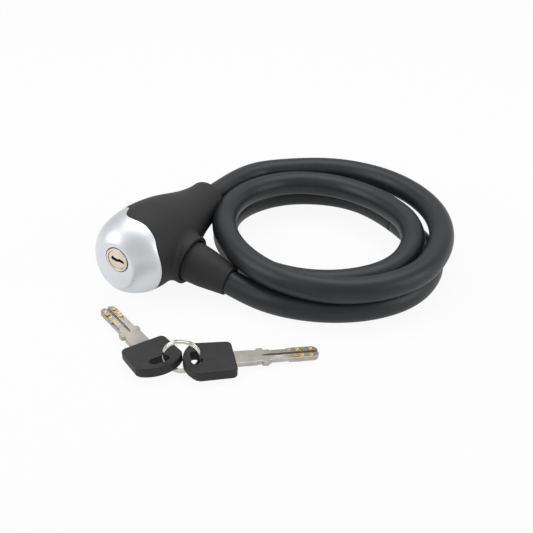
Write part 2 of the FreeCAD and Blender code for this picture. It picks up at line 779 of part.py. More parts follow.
build()
doc.recompute()
for item in doc.Objects:
    if "Invalid" in item.State or "Error" in item.State:
        raise RuntimeError("%s did not build: %s" % (item.Name, item.State))
os.makedirs("parts", exist_ok=True)
for item in finished:
    shape = item.Shape
    if shape.isNull() or not shape.isValid():
        raise RuntimeError(item.Label + " has no valid shape")
    print("%-18s %2d solids %9.1f mm3 %s" % (item.Label, len(shape.Solids), shape.Volume, shape.BoundBox))
    shape.exportStep(os.path.join("parts", item.Label + ".step"))
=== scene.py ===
import bmesh
import bpy
import json
import math
import numpy as np
from mathutils import Matrix, Vector


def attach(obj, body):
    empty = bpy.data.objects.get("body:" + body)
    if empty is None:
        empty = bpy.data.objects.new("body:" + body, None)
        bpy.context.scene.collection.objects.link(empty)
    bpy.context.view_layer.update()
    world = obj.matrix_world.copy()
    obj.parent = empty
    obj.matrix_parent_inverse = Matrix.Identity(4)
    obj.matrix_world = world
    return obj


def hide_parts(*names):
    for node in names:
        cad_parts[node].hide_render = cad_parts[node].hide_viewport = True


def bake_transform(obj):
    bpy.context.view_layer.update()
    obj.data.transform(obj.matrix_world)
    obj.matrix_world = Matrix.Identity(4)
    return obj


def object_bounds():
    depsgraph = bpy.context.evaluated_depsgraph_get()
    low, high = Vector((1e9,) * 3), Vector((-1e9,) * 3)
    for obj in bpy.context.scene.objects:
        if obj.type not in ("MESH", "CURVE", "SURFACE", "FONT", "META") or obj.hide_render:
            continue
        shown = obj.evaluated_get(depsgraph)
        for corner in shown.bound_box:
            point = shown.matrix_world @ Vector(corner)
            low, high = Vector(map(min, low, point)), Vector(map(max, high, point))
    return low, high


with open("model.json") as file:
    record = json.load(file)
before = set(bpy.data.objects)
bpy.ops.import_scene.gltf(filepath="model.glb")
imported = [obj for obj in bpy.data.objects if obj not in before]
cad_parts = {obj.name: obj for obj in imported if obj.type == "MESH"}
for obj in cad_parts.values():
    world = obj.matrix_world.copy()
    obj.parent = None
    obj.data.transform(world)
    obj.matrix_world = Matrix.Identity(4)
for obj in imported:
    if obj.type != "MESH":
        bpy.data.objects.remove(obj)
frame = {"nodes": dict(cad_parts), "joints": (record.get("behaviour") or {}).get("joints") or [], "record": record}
cadLow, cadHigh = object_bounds()
joints = {joint["name"]: joint for joint in frame["joints"]}
mm = 0.001

# camera, floor and light

shot = {
    "place": (-0.0289, -0.4214, 0.2568),
    "pitch": 32.07,
    "lens": 65.87,
    "nearest": 0.01,
}


def makeCamera():
    camera = bpy.data.objects.new("camera", bpy.data.cameras.new("camera"))
    camera.data.lens = shot["lens"]
    camera.data.clip_start = shot["nearest"]
    camera.location = shot["place"]
    camera.rotation_euler = (math.radians(90 - shot["pitch"]), 0, 0)
    bpy.context.scene.collection.objects.link(camera)
    bpy.context.scene.camera = camera


makeCamera()

# shader maths: a wrapped socket that takes + and * with sockets and plain numbers


class Value:
    def __init__(self, paint, socket):
        self.paint = paint
        self.socket = socket

    def joined(self, operation, first, second):
        node = self.paint.add("ShaderNodeMath", {"operation": operation}, {0: first, 1: second})
        return Value(self.paint, node.outputs[0])

    def __add__(self, other):
        return self.joined("ADD", self, other)

    def __radd__(self, other):
        return self.joined("ADD", other, self)

    def __mul__(self, other):
        return self.joined("MULTIPLY", self, other)

    def __rmul__(self, other):
        return self.joined("MULTIPLY", other, self)

    def step(self, low, high):
        # rises smoothly from 0 at low to 1 at high
        node = self.paint.add("ShaderNodeMapRange", {"interpolation_type": "SMOOTHSTEP"},
                              {"Value": self, "From Min": low, "From Max": high})
        return Value(self.paint, node.outputs["Result"])


class Paint:
    def __init__(self, name):
        self.material = bpy.data.materials.new(name)
        self.material.use_nodes = True
        self.tree = self.material.node_tree
        self.tree.nodes.clear()
        self.out = self.add("ShaderNodeOutputMaterial")
        self.place = Value(self, self.add("ShaderNodeTexCoord").outputs["Object"])

    def add(self, kind, settings=None, sockets=None):
        node = self.tree.nodes.new(kind)
        for name, value in (settings or {}).items():
            setattr(node, name, value)
        for name, value in (sockets or {}).items():
            self.feed(node.inputs[name], value)
        return node

    def feed(self, socket, value):
        if isinstance(value, Value):
            self.tree.links.new(value.socket, socket)
        elif isinstance(value, tuple) and len(value) == 3 and socket.type == "RGBA":
            socket.default_value = (*value, 1.0)
        else:
            socket.default_value = value

    def noise(self, scale, detail=2.0, rough=0.5, place=None):
        node = self.add("ShaderNodeTexNoise", {}, {"Vector": place or self.place, "Scale": scale,
                                                   "Detail": detail, "Roughness": rough})
        return Value(self, node.outputs["Fac"])

    def stretched(self, turn, scale):
        node = self.add("ShaderNodeMapping", {}, {"Vector": self.place, "Rotation": turn, "Scale": scale})
        return Value(self, node.outputs["Vector"])

    def mix(self, share, first, second):
        node = self.add("ShaderNodeMix", {"data_type": "RGBA"}, {0: share})
        self.feed(node.inputs[6], first)
        self.feed(node.inputs[7], second)
        return Value(self, node.outputs[2])

    def bump(self, height, strength, distance):
        sockets = {"Height": height, "Strength": strength, "Distance": distance}
        return Value(self, self.add("ShaderNodeBump", {}, sockets).outputs["Normal"])

    def finish(self, **sockets):
        names = {"colour": "Base Color", "rough": "Roughness", "metal": "Metallic", "normal": "Normal",
                 "gloss": "Specular IOR Level"}
        shader = self.add("ShaderNodeBsdfPrincipled", {}, {names[key]: value for key, value in sockets.items()})
        self.tree.links.new(shader.outputs["BSDF"], self.out.inputs["Surface"])
        return self.material


studio = {
    "floorColour": (0.86, 0.86, 0.86),
    "floorReach": 3.0,
    "floorDrop": 0.0001,  # keeps the floor just clear of what lies on it
    "seenWhite": 0.92,  # how far the floor fades to plain white
    "reflectedWhite": 0.6,  # how much of that a reflection gets
    "world": 0.54,
    "mirrored": 0.72,  # how bright the surroundings are in reflections
    "lamps": [
        # name, place, aim, size across, size along, power
        ("overheadLamp", (0.05, 0.25, 0.80), (0.0, 0.0, 0.0), 0.90, 0.60, 3.3),
        ("leftLamp", (-0.75, -0.15, 0.50), (-0.05, 0.0, 0.0), 0.55, 0.55, 2.3),
        ("rightLamp", (0.75, -0.25, 0.30), (0.0, 0.0, 0.0), 0.50, 0.45, 1.5),
    ],
}


def makeStudio():
    scene = bpy.context.scene
    scene.view_settings.view_transform = "Standard"
    for name, place, aim, across, along, power in studio["lamps"]:
        lamp = bpy.data.lights.new(name, "AREA")
        lamp.shape = "RECTANGLE"
        lamp.size = across
        lamp.size_y = along
        lamp.energy = power
        holder = bpy.data.objects.new(name, lamp)
        holder.location = place
        holder.rotation_euler = (Vector(aim) - Vector(place)).to_track_quat("-Z", "Y").to_euler()
        scene.collection.objects.link(holder)
    world = bpy.data.worlds.new("studio")
    world.use_nodes = True
    scene.world = world
    nodes = world.node_tree.nodes
    links = world.node_tree.links
    nodes.clear()
    path = nodes.new("ShaderNodeLightPath")
    soft = nodes.new("ShaderNodeBackground")
    soft.inputs["Strength"].default_value = studio["world"]
    mirrored = nodes.new("ShaderNodeBackground")
    mirrored.inputs["Strength"].default_value = studio["mirrored"]
    white = nodes.new("ShaderNodeBackground")
    first = nodes.new("ShaderNodeMixShader")
    links.new(path.outputs["Is Glossy Ray"], first.inputs["Fac"])
    links.new(soft.outputs[0], first.inputs[1])
    links.new(mirrored.outputs[0], first.inputs[2])
    choice = nodes.new("ShaderNodeMixShader")
    links.new(path.outputs["Is Camera Ray"], choice.inputs["Fac"])
    links.new(first.outputs[0], choice.inputs[1])
    links.new(white.outputs[0], choice.inputs[2])
    links.new(choice.outputs[0], nodes.new("ShaderNodeOutputWorld").inputs["Surface"])


def makeFloor():
    paint = Paint("paleFloor")
    path = paint.add("ShaderNodeLightPath")
    mirrored = Value(paint, path.outputs["Is Glossy Ray"]) * studio["reflectedWhite"]
    seen = Value(paint, path.outputs["Is Camera Ray"]) + mirrored
    plain = paint.add("ShaderNodeBsdfDiffuse", {}, {"Color": studio["floorColour"]})
    white = paint.add("ShaderNodeEmission", {}, {"Color": (1.0, 1.0, 1.0), "Strength": 1.0})
    choice = paint.add("ShaderNodeMixShader", {}, {"Fac": seen * studio["seenWhite"]})
    paint.tree.links.new(plain.outputs[0], choice.inputs[1])
    paint.tree.links.new(white.outputs[0], choice.inputs[2])
    paint.tree.links.new(choice.outputs[0], paint.out.inputs["Surface"])
    mesh = bpy.data.meshes.new("floor")
    reach = studio["floorReach"]
    mesh.from_pydata([(-reach, -reach, 0), (reach, -reach, 0), (reach, reach, 0), (-reach, reach, 0)], [],
                     [(0, 1, 2, 3)])
    mesh.materials.append(paint.material)
    floor = bpy.data.objects.new("floor", mesh)
    floor.location.z = min(0.0, cadLow.z) - studio["floorDrop"]
    bpy.context.scene.collection.objects.link(floor)


makeStudio()
makeFloor()
print("studio ready")

# materials: the darker and the lighter tint, the roughness, and how fine the grain is

finishes = {
    "silver": {"dark": (0.76, 0.78, 0.81), "light": (0.81, 0.825, 0.85), "rough": 0.42, "grain": 2600.0},
    "cover": {"dark": (0.021, 0.021, 0.021), "light": (0.029, 0.029, 0.028), "rough": 0.55, "grain": 3200.0,
              "gloss": 0.36},
    "vinyl": {"dark": (0.014, 0.016, 0.018), "light": (0.021, 0.023, 0.025), "rough": 0.36, "grain": 380.0,
              "gloss": 0.42, "speck": (0.2, 0.2, 0.2)},
    "bow": {"dark": (0.018, 0.018, 0.019), "light": (0.027, 0.027, 0.028), "rough": 0.48, "grain": 1500.0,
            "gloss": 0.4, "speck": (0.22, 0.22, 0.22)},
    "blade": {"dark": (0.43, 0.41, 0.375), "light": (0.52, 0.50, 0.46), "rough": 0.30, "grain": 1500.0},
}


def satinSilver():
    # softly blasted silver: broad, even reflections
    paint = Paint("satinSilver")
    look = finishes["silver"]
    grain = paint.noise(look["grain"], 3.0, 0.6)
    cloud = paint.noise(60.0, 2.0)
    return paint.finish(colour=paint.mix(cloud.step(0.35, 0.7), look["dark"], look["light"]), metal=1.0,
                        rough=look["rough"] + grain * 0.06 + cloud * 0.03, normal=paint.bump(grain, 0.12, 0.00008))


def softBlack():
    # soft-touch cover: matt charcoal with a very fine grain
    paint = Paint("softBlack")
    look = finishes["cover"]
    grain = paint.noise(look["grain"], 2.0, 0.6)
    cloud = paint.noise(45.0, 3.0)
    return paint.finish(colour=paint.mix(cloud.step(0.3, 0.75), look["dark"], look["light"]),
                        rough=look["rough"] + cloud * 0.1, gloss=look["gloss"],
                        normal=paint.bump(grain, 0.18, 0.00006))


def cableVinyl():
    # smooth vinyl with faint rubs and a few pale specks
    paint = Paint("cableVinyl")
    look = finishes["vinyl"]
    cloud = paint.noise(70.0, 3.0)
    wave = paint.noise(look["grain"], 2.0)
    speck = paint.noise(900.0, 1.0).step(0.80, 0.84)
    ground = paint.mix(cloud.step(0.3, 0.75), look["dark"], look["light"])
    return paint.finish(colour=paint.mix(speck * 0.5, ground, look["speck"]), rough=look["rough"] + cloud * 0.1,
                        gloss=look["gloss"], normal=paint.bump(wave, 0.05, 0.0001))


def plainMetal(name, colour, rough, scratch=0.08):
    # turned or drawn metal with fine lines one way
    paint = Paint(name)
    line = paint.noise(900.0, 3.0, 0.6, paint.stretched((0.0, 0.0, 1.03), (0.1, 1.0, 1.0)))
    cloud = paint.noise(150.0, 2.0)
    return paint.finish(colour=paint.mix(cloud.step(0.3, 0.7), tuple(part * 0.9 for part in colour), colour),
                        metal=1.0, rough=rough + line * scratch, normal=paint.bump(line, 0.1, 0.00005))


def plainRubber(name, colour):
    # dull rubber, or the shade inside a slot
    paint = Paint(name)
    grain = paint.noise(1500.0, 2.0)
    return paint.finish(colour=colour, rough=0.6 + grain * 0.15, normal=paint.bump(grain, 0.15, 0.00005))


def keyPlastic():
    # the keys' moulded heads: grained, with a few pale rubs
    paint = Paint("keyPlastic")
    look = finishes["bow"]
    grain = paint.noise(look["grain"], 3.0, 0.65)
    cloud = paint.noise(110.0, 3.0)
    speck = paint.noise(1100.0, 1.0).step(0.78, 0.82)
    ground = paint.mix(cloud.step(0.3, 0.75), look["dark"], look["light"])
    return paint.finish(colour=paint.mix(speck * 0.35, ground, look["speck"]), rough=look["rough"] + cloud * 0.12,
                        gloss=look["gloss"], normal=paint.bump(grain, 0.35, 0.00012))


def keyNickel():
    # the keys' blades: warm grey metal with fine lines one way
    paint = Paint("keyNickel")
    look = finishes["blade"]
    line = paint.noise(look["grain"], 3.0, 0.6, paint.stretched((0.0, 0.0, 0.6), (0.15, 1.0, 1.0)))
    cloud = paint.noise(180.0, 2.0)
    return paint.finish(colour=paint.mix(cloud.step(0.3, 0.7), look["dark"], look["light"]), metal=1.0,
                        rough=look["rough"] + line * 0.12, normal=paint.bump(line, 0.12, 0.00005))


materials = {
    "satin_cap": satinSilver(),
    "soft_black": softBlack(),
    "cast_zinc": plainMetal("castZinc", (0.42, 0.42, 0.42), 0.5),
    "nickel_face": plainMetal("nickelFace", (0.80, 0.72, 0.60), 0.26),
    "brass": plainMetal("turnedBrass", (0.80, 0.58, 0.25), 0.3),
    "spring_steel": plainMetal("springSteel", (0.5, 0.5, 0.52), 0.3),
    "bright_steel": plainMetal("brightSteel", (0.6, 0.6, 0.61), 0.25),
    "crimp_metal": plainMetal("crimpMetal", (0.64, 0.65, 0.67), 0.38),
    "wire_strand": plainMetal("wireStrand", (0.45, 0.45, 0.45), 0.35),
    # very dark rubber, also used as painted shade in the gap round the key's face
    "seal_rubber": plainRubber("sealRubberAndGapShade", (0.012, 0.012, 0.012)),
    "cable_cover": cableVinyl(),
    "ring_steel": plainMetal("ringSteel", (0.72, 0.70, 0.66), 0.16, 0.05),
    "key_black": keyPlastic(),
    "key_nickel": keyNickel(),
    "milledGold": plainMetal("milledGold", (0.88, 0.60, 0.16), 0.28),
    "slotShade": plainRubber("slotShade", (0.02, 0.017, 0.013)),
}


def dressNodes():
    for part in frame["record"]["subparts"]:
        mesh = frame["nodes"][part["node"]].data
        mesh.materials.clear()
        mesh.materials.append(materials[part["material_slot"]])


dressNodes()
print("materials ready")

# the head's own axes: X from the key face to the cable's mouth, Z up, the port towards -Y

headLong = Vector(joints["key_turn"]["axis"]).normalized()
headUp = Vector((0, 0, 1))
headLeft = headUp.cross(headLong)
lockSpot = (0.0, -1.0, 4.0)  # the lock cylinder's place in the head, millimetres
headOrigin = Vector(joints["key_turn"]["pos_m"]) - (headLeft * lockSpot[1] + headUp * lockSpot[2]) * mm
headFrame = Matrix.Translation(headOrigin) @ Matrix((headLong, headLeft, headUp)).transposed().to_4x4()


def inHead(x, y, z):
    return headFrame @ Vector((x * mm, y * mm, z * mm))


# the head's sizes, in millimetres along its own axes

head = {
    "length": 75.0,
    "outline": [(0.0, 10.4), (0.05, 11.6), (0.62, 12.75), (2.5, 14.9), (6.5, 17.4), (11.5, 19.1), (18, 20),
                (25, 20), (33, 19.1), (41, 17.5), (49, 15.2), (57, 12.8), (64, 11.3), (70, 10.5), (75, 10.4)],
    # where the cap ends at each turn, in degrees from the left side over the top: it reaches back on the left
    "seam": [(-134, 11.5), (-120, 12.0), (-100, 13.0), (-80, 14.6), (-58, 17.2), (-35, 20.2), (-10, 22.6),
             (15, 23.8), (38, 24.0), (56, 23.2), (66, 21.8), (72, 19.9), (75, 17.4), (78, 15.4), (83, 13.9),
             (89, 13.1), (98, 12.9), (112, 13.3), (125, 12.9), (137, 12.0), (150, 10.3), (158, 9.8), (176, 9.8),
             (196, 10.1), (212, 10.5), (226, 11.5)],
    "narrowing": (1.2, 1.0, 1.0, 9.5),  # both sides, port side only, and where it starts to fade and ends
    "seamGap": 0.3,
    "core": [(2.85, 0), (2.85, 9.3), (8, 14.3), (15, 17.35), (27, 17.35), (36, 16.15), (46, 13.35), (54, 10.75),
             (60.1, 8.75), (60.1, 0)],
    "mouth": 6.15,
    "mouthFloor": 50.0,
    "port": {"place": (30.0, 0.0, -1.6), "rim": 21.6, "radius": 12.2, "bore": 10.3, "floor": 13.5, "edge": 0.6,
             "flare": 0.8, "blend": 2.2},
    "voxel": 0.5,
}

# meshes


def makePiece(name, points, faces, material, body):
    mesh = bpy.data.meshes.new(name)
    mesh.from_pydata([tuple(point) for point in points], [], [tuple(face) for face in faces])
    mesh.validate()
    mesh.materials.append(materials[material])
    mesh.shade_smooth()
    piece = bpy.data.objects.new(name, mesh)
    bpy.context.scene.collection.objects.link(piece)
    if body:
        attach(piece, body)
    return piece


def wrapFaces(turns, width, closed=True):
    # quads between neighbouring rows of points, one row for each turn
    faces = []
    for index in range(turns):
        here, after = index * width, (index + 1) % turns * width
        for step in range(width if closed else width - 1):
            nextStep = (step + 1) % width
            faces.append((here + step, here + nextStep, after + nextStep, after + step))
    return faces


def splineLine(name, points):
    # the points of a smooth line that follows its control points
    curve = bpy.data.curves.new(name, "CURVE")
    curve.dimensions = "3D"
    spline = curve.splines.new("NURBS")
    spline.points.add(len(points) - 1)
    for knot, point in zip(spline.points, points):
        knot.co = (*point, 1.0)
    spline.order_u = 3
    spline.use_endpoint_u = True
    spline.resolution_u = 12
    holder = bpy.data.objects.new(name, curve)
    bpy.context.scene.collection.objects.link(holder)
    bpy.context.view_layer.update()
    mesh = bpy.data.meshes.new_from_object(holder.evaluated_get(bpy.context.evaluated_depsgraph_get()))
    line = [Vector(vertex.co) for vertex in mesh.vertices]
    bpy.data.objects.remove(holder)
    bpy.data.meshes.remove(mesh)
    return line


def tubeMesh(line, radius, sides):
    # rings carried along the line without twist, closed by a fan at each end
    points = []
    faces = []
    ways = [(line[min(i + 1, len(line) - 1)] - line[max(i - 1, 0)]).normalized() for i in range(len(line))]
    across = ways[0].orthogonal().normalized()
    for index, way in enumerate(ways):
        across = (across - way * across.dot(way)).normalized()
        other = way.cross(across)
        for side in range(sides):
            turn = 2 * math.pi * side / sides
            points.append(line[index] + (across * math.cos(turn) + other * math.sin(turn)) * radius)
        if index:
            base = index * sides
            for side in range(sides):
                after = (side + 1) % sides
                faces.append((base - sides + side, base - sides + after, base + after, base + side))
    faces.append(tuple(reversed(range(sides))))
    last = (len(line) - 1) * sides
    faces.append(tuple(range(last, last + sides)))
    return points, faces


# the cable: one loose coil from the head's mouth, and its floor turn from the plug

cable = {
    "diameter": 0.012,
    "sides": 48,
    "spread": 1.035,  # the spline runs a little inside its points
    "inside": 58.0,  # where it starts inside the mouth
    "outside": 83.0,  # its first point past the mouth
    "firstBend": (-39.5, 49.5, 19.7),
    "sleeveBend": (53.0, 6.6),  # how far out along the port the lead turns into the sleeve, and its height there
    "leadEnd": 36.1,  # where the lead ends inside the sleeve
    "still": (0.045, -0.015, 0.006),  # up to here the lead would keep still, metres
    "moving": (-0.038, -0.043, 0.008),  # and from here on it would move with the plug
}
# angle round the coil, distance from its middle and height, in degrees and millimetres
stations = [(54, 48, 6.0), (83, 53, 6.0), (113, 57, 6.2), (144, 56, 7.0), (177, 50, 8.0), (212, 45, 9.4),
            (247, 43.5, 10.8), (279, 45, 12.2), (309, 47, 13.8), (337, 45, 15.9), (363, 41, 17.2), (387, 38, 17.0),
            (412, 39, 16.6), (441, 43, 16.8), (471, 48, 17.7), (504, 50, 19.0), (538, 50, 19.5), (572, 51, 19.2),
            (605, 56, 18.4), (636, 61, 17.6), (667, 62, 17.6), (695, 58, 18.2), (722, 56, 18.8), (748, 55, 19.2),
            (775, 56, 19.3), (803, 58, 19.2), (833, 60, 19.1)]
meeting = (39.9, 20.7, 6.1)  # where the coil passes into the lead
leadPoints = [meeting, (49.3, 3.1, 6.1), (52.5, -21.0, 6.1), (41.0, -44.0, 6.1), (22.0, -56.0, 6.1),
              (0.0, -59.0, 6.1), (-21.0, -54.5, 6.1)]
portWay = Vector(joints["plug_pull"]["axis"]).normalized()
portOrigin = inHead(*head["port"]["place"])


def alongPort(distance):
    return portOrigin + portWay * distance * mm


def coilPoints():
    points = [inHead(cable["inside"], 0, 0), inHead(cable["outside"], 0, 0), Vector(cable["firstBend"]) * mm]
    for angle, distance, height in reversed(stations):
        turn = math.radians(angle)
        reach = distance * cable["spread"] * mm
        points.append(Vector((reach * math.cos(turn), reach * math.sin(turn), height * mm)))
    points.append(Vector(meeting) * mm)
    return points


def lineLength(line):
    return sum((after - before).length for before, after in zip(line, line[1:]))


def makeCables():
    coilLine = splineLine("coilLine", coilPoints())
    points, faces = tubeMesh(coilLine, cable["diameter"] / 2, cable["sides"])
    coil = makePiece("cableCoil", points, faces, "cable_cover", "head")
    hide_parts("cable_coil", "cable_tail")
    inHead(head["length"], 0, 0)
    reach, height = cable["sleeveBend"]
    bend = alongPort(reach)
    ends = [Vector((bend.x, bend.y, height * mm)), alongPort(cable["leadEnd"])]
    leadLine = splineLine("leadLine", [Vector(point) * mm for point in leadPoints] + ends)
    points, faces = tubeMesh(leadLine, cable["diameter"] / 2, cable["sides"])
    lead = makePiece("cableLead", points, faces, "cable_cover", None)
    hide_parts("cable_lead")
    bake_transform(lead)
    print("cable %.0f mm and %.0f mm" % (lineLength(coilLine) / mm, lineLength(leadLine) / mm))


makeCables()
print("cable ready")

# smooth outlines through a few points


def smoothCurve(points, count):
    # evenly stepped points on a natural cubic spline through the given ones
    knots = np.array(points, float)
    along = np.concatenate([[0], np.cumsum(np.linalg.norm(np.diff(knots, axis=0), axis=1))])
    gaps = np.diff(along)
    size = len(knots)
    system = np.eye(size)
    right = np.zeros_like(knots)
    for i in range(1, size - 1):
        system[i, i - 1:i + 2] = gaps[i - 1], 2 * (gaps[i - 1] + gaps[i]), gaps[i]
        right[i] = 6 * ((knots[i + 1] - knots[i]) / gaps[i] - (knots[i] - knots[i - 1]) / gaps[i - 1])
    bend = np.linalg.solve(system, right)
    at = np.linspace(0, along[-1], count)
    cell = np.clip(np.searchsorted(along, at, side="right") - 1, 0, size - 2)
    gap = gaps[cell][:, None]
    before = (along[cell + 1] - at)[:, None]
    after = (at - along[cell])[:, None]
    return (bend[cell] * before ** 3 / (6 * gap) + bend[cell + 1] * after ** 3 / (6 * gap)
            + (knots[cell] / gap - bend[cell] * gap / 6) * before
            + (knots[cell + 1] / gap - bend[cell + 1] * gap / 6) * after)


# the head: a silver cap, a black shell and the edge between them

capSizes = {
    "turns": 224,
    "steps": 60,  # from the facet to the seam
    "wall": 1.6,
    "faceHole": 6.05,
    "facetDepth": 2.7,
    "holeEdge": [(2.7, 0), (1.4, 0), (0.3, 0.0), (0.07, 0.07), (0, 0.3)],  # depth, and how far outside the hole
    "inside": 2.8,  # depth of the inner face behind the facet
    "innerRadius": 11.8,
    "innerTaper": 0.9,
}
lipSizes = {
    "turns": 160,
    "below": 0.42,  # how far it lies under the cap's surface
    # along from the seam, and further below
    "section": ((-0.02, 0.0), (0.34, 0.0), (0.34, 0.9), (-0.02, 0.9)),
}
outline = smoothCurve(head["outline"], 600)
seamLine = smoothCurve([(turn / 8.0, along) for turn, along in head["seam"]], 900)


def radiusAt(along):
    return np.interp(along, outline[:, 0], outline[:, 1])


def seamAt(turn):
    # how far back the cap reaches at a turn in radians
    first = head["seam"][0][0]
    degrees = (math.degrees(turn) - first) % 360 + first
    return np.interp(degrees / 8.0, seamLine[:, 0], seamLine[:, 1])


def capRing(turn, steps):
    # the outer line of the cap at one turn: along and radius from the facet to the seam
    edge = seamAt(turn)
    lengths = np.concatenate([[0], np.cumsum(np.linalg.norm(np.diff(outline, axis=0), axis=1))])
    last = np.interp(edge, outline[:, 0], lengths)
    at = np.linspace(0, last, steps)
    along, radius = np.interp(at, lengths, outline[:, 0]), np.interp(at, lengths, outline[:, 1])
    # the front is a little narrower from side to side than from top to bottom
    narrow, lean, low, high = head["narrowing"]
    fade = np.clip((high - along) / (high - low), 0, 1)
    trim = narrow * math.cos(turn) ** 2 + lean * max(0.0, -math.cos(turn))
    return along, radius - trim * fade * fade * (3 - 2 * fade)


def makeCap():
    side, rise = lockSpot[1], lockSpot[2]
    turns, hole, wall, inside = (capSizes[key] for key in ("turns", "faceHole", "wall", "inside"))
    rows = []
    for index in range(turns):
        turn = 2 * math.pi * index / turns
        across, up = math.cos(turn), math.sin(turn)
        row = [(depth, side + (hole + grow) * across, rise + (hole + grow) * up)
               for depth, grow in capSizes["holeEdge"]]
        along, radius = capRing(turn, capSizes["steps"])
        for share in (0.25, 0.5, 0.75):
            row.append((0, (1 - share) * row[4][1] + share * radius[0] * across,
                        (1 - share) * row[4][2] + share * radius[0] * up))
        row += [(a, r * across, r * up) for a, r in zip(along, radius)]
        edge, rim = along[-1], radius[-1]
        row[-1] = (edge - 0.12, (radiusAt(edge - 0.12) - 0.01) * across, (radiusAt(edge - 0.12) - 0.01) * up)
        row.append((edge, (rim - 0.14) * across, (rim - 0.14) * up))
        row.append((edge, (rim - wall) * across, (rim - wall) * up))
        for share in (0.66, 0.33, 0.0):
            back = max(inside + (edge - inside) * share, capSizes["facetDepth"])
            inner = radiusAt(back) - wall - capSizes["innerTaper"] * (1 - share)
            inner = inner if share else capSizes["innerRadius"]
            row.append((back, inner * across, inner * up))
        rows.append(row)
    points = [inHead(*point) for row in rows for point in row]
    cap = makePiece("domeCap", points, wrapFaces(turns, len(rows[0])), "satin_cap", "head")
    tidyNormals(cap)
    sharpen(cap, 40)
    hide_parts("dome_cap")


def tidyNormals(piece):
    solid = bmesh.new()
    solid.from_mesh(piece.data)
    bmesh.ops.remove_doubles(solid, verts=solid.verts, dist=1e-6)
    bmesh.ops.recalc_face_normals(solid, faces=solid.faces)
    solid.to_mesh(piece.data)
    solid.free()


def sharpen(piece, angle):
    piece.data.shade_smooth()
    piece.data.set_sharp_from_angle(angle=math.radians(angle))


def loose(name, points, faces):
    # a helper object that no piece keeps
    mesh = bpy.data.meshes.new(name)
    mesh.from_pydata([tuple(point) for point in points], [], faces)
    item = bpy.data.objects.new(name, mesh)
    bpy.context.scene.collection.objects.link(item)
    tidyNormals(item)
    return item


def turnedPoints(line, place, sides):
    # rows of (along, radius) points turned round the local X axis
    points = []
    for index in range(sides):
        turn = 2 * math.pi * index / sides
        points += [place @ Vector((a * mm, r * mm * math.cos(turn), r * mm * math.sin(turn))) for a, r in line]
    return points


def turnedSolid(name, line, place, sides=96):
    # a closed solid turned round the local X axis from (along, radius) points that start and end on the axis
    inner = [item for item in line if item[1] > 1e-9]
    width = len(inner)
    points = turnedPoints(inner, place, sides)
    faces = wrapFaces(sides, width, closed=False)
    faces.append(tuple(index * width for index in range(sides)))
    faces.append(tuple(index * width + width - 1 for index in range(sides)))
    return loose(name, points, faces)


def prism(name, line, low, high, place):
    # a flat outline in the local XZ plane, drawn out along Y
    count = len(line)
    points = [place @ Vector((a * mm, y * mm, b * mm)) for y in (low, high) for a, b in line]
    faces = [tuple(range(count)), tuple(reversed(range(count, 2 * count)))]
    faces += [(i, i + count, (i + 1) % count + count, (i + 1) % count) for i in range(count)]
    return loose(name, points, faces)


def combine(item, tool, operation="DIFFERENCE"):
    change = item.modifiers.new("combine", "BOOLEAN")
    change.object = tool
    change.operation = operation
    change.solver = "EXACT"
    change.material_mode = "TRANSFER"
    applied(item)
    bpy.data.objects.remove(tool)


def applied(item):
    bpy.context.view_layer.update()
    made = bpy.data.meshes.new_from_object(item.evaluated_get(bpy.context.evaluated_depsgraph_get()))
    item.modifiers.clear()
    item.data = made


portUp = (headUp - portWay * headUp.dot(portWay)).normalized()
portFrame = Matrix.Translation(portOrigin) @ Matrix((portWay, portUp, portWay.cross(portUp))).transposed().to_4x4()


def shellDistance(points):
    # how far points in the head's own frame are outside the shell: turned body and port branch, blended
    port = head["port"]
    along = points[:, 0]
    radius = np.hypot(points[:, 1], points[:, 2])
    slope = (radiusAt(along + 0.2) - radiusAt(along - 0.2)) / 0.4
    body = (radius - radiusAt(along)) / np.sqrt(1 + slope ** 2)
    body = roundedMax(body, along - head["length"], 1.0)
    way = np.array((headFrame.to_3x3().transposed() @ portWay)[:])
    offset = points - np.array(port["place"])
    out = offset @ way
    across = np.linalg.norm(offset - out[:, None] * way, axis=1)
    flare = port["flare"] * np.clip(1 - out / (port["rim"] - 1.0), 0, 1) ** 2
    branch = roundedMax(across - port["radius"] - flare, out - port["rim"], port["edge"])
    branch = np.maximum(branch, -out)
    mixed = np.clip(0.5 + 0.5 * (branch - body) / port["blend"], 0, 1)
    both = branch * (1 - mixed) + body * mixed - port["blend"] * mixed * (1 - mixed)
    bore = np.minimum(port["bore"] - across, out - port["floor"])
    mouth = np.minimum(head["mouth"] - radius, along - head["mouthFloor"])
    return roundedMax(roundedMax(both, bore, 0.5), mouth, 0.6)


def roundedMax(first, second, edge):
    a = np.maximum(first + edge, 0)
    b = np.maximum(second + edge, 0)
    return np.minimum(np.maximum(first, second), -edge) + np.hypot(a, b)


def bored(name, floor, end, radius, place):
    # a plain cylinder along the local X axis, to cut with
    return turnedSolid(name, [(floor, 0), (floor, radius), (end, radius), (end, 0)], place)


